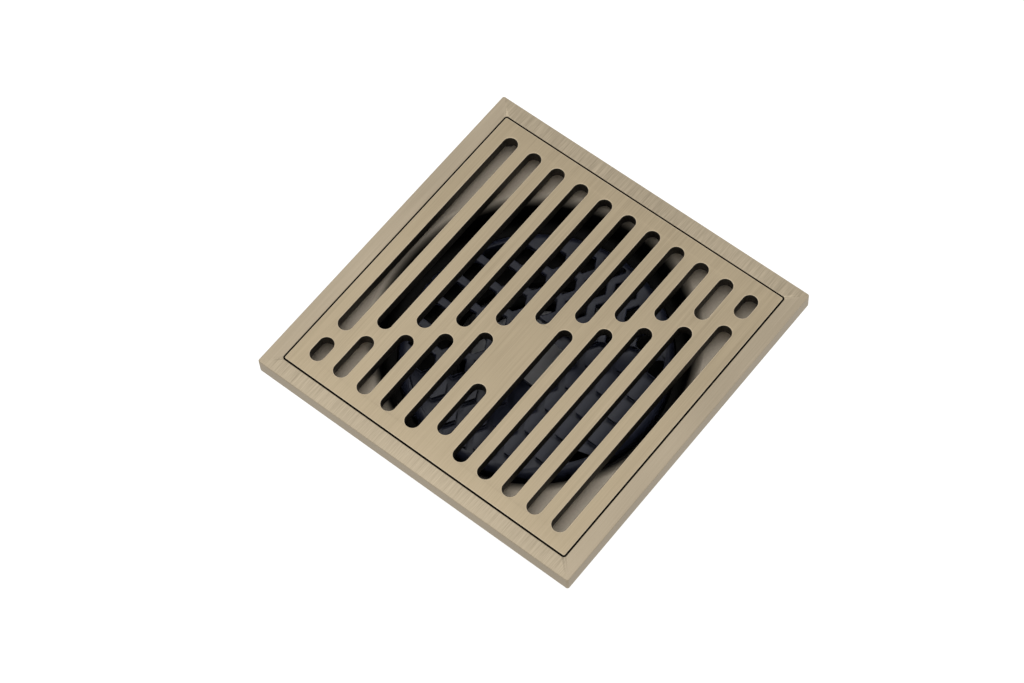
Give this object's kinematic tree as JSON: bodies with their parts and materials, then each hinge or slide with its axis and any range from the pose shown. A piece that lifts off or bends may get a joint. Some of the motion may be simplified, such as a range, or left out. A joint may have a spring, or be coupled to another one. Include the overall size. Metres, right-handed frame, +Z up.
{
  "type": "floor drain",
  "caption": "Square brass floor drain: lift-out grate with straight round-ended slots and a slanting bridge, honeycomb hair strainer, lift-out odour trap and round outlet.",
  "frame": {"origin": "centre of the outlet tube's lower end, on its axis, which the free drain stands on", "axes": "+Z up along the outlet's axis towards the grate, +Y along the grate's slots, +X across them"},
  "size_m": [0.1, 0.1, 0.06],
  "materials": {
    "brushed_bronze": "brushed, satin lacquered",
    "cast_brass": "brushed rim, satin pan, blasted underside",
    "turned_brass": "turned",
    "navy_plastic": "satin moulded",
    "black_plastic": "fine moulded grain",
    "grey_plastic": "semi-gloss moulded",
    "white_polymer": "satin",
    "rubber": "matte",
    "silicone": "satin translucent",
    "steel": "turned",
    "magnet": "nickel plated"
  },
  "bodies": {
    "drain": {"drain_body": "cast_brass", "outlet_spigot": "turned_brass", "pipe_gasket": "rubber"},
    "grate": {"cover_grate": "brushed_bronze", "grate_feet": "rubber"},
    "strainer": {"hair_strainer": "navy_plastic"},
    "core": {"core_housing": "black_plastic", "upper_o_ring": "rubber", "lower_o_ring": "rubber", "guide_spider": "black_plastic", "guide_bush": "white_polymer", "snap_ring": "steel", "fixed_magnet": "magnet", "fixed_magnet_cover": "black_plastic"},
    "seal": {"seal_cap": "grey_plastic", "moving_magnet": "magnet", "moving_magnet_cover": "black_plastic", "seal_stem": "steel", "seal_plate": "black_plastic", "seal_gasket": "silicone", "stem_washer": "steel", "stem_nut": "steel"}
  },
  "joints": [
    {"name": "grate_lift", "type": "slide", "parent": "drain", "child": "grate", "axis": [0, 0, 1], "range_m": [0, 0.14]},
    {"name": "strainer_lift", "type": "slide", "parent": "drain", "child": "strainer", "axis": [0, 0, 1], "range_m": [0, 0.0924]},
    {"name": "core_lift", "type": "slide", "parent": "drain", "child": "core", "axis": [0, 0, 1], "range_m": [0, 0.0588]},
    {"name": "seal_drop", "type": "slide", "parent": "core", "child": "seal", "axis": [0, 0, -1], "range_m": [0, 0.005], "stiffness_N_per_m": 120, "springref_m": -0.008}
  ],
  "couplings": [
    {"joint": "strainer_lift", "follows": "grate_lift", "ratio": 0.66},
    {"joint": "core_lift", "follows": "grate_lift", "ratio": 0.42}
  ]
}
